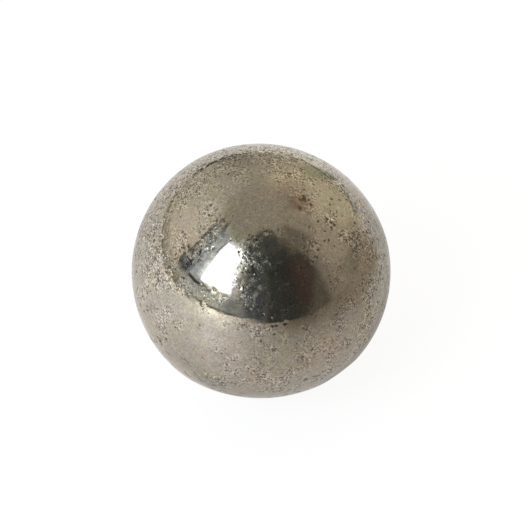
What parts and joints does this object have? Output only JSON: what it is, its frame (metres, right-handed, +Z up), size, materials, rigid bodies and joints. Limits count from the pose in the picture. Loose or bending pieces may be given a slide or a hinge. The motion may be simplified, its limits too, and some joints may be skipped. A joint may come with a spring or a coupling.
{
  "type": "steel ball",
  "caption": "Solid worn steel ball, pitted and slightly out of round, to roll or sit in a cup, ring or cage.",
  "frame": {"origin": "centre of the ball as it was made, before wear", "axes": "+Z up, -Y the front, the side seen in the picture. A plain ball has no direction of its own, so the axes are chosen for the view"},
  "size_m": [0.025, 0.025, 0.025],
  "materials": {
    "worn_steel": "worn polished steel with a warm grey tarnish and fine pits"
  },
  "bodies": {
    "root": {"ball": "worn_steel"}
  },
  "joints": []
}
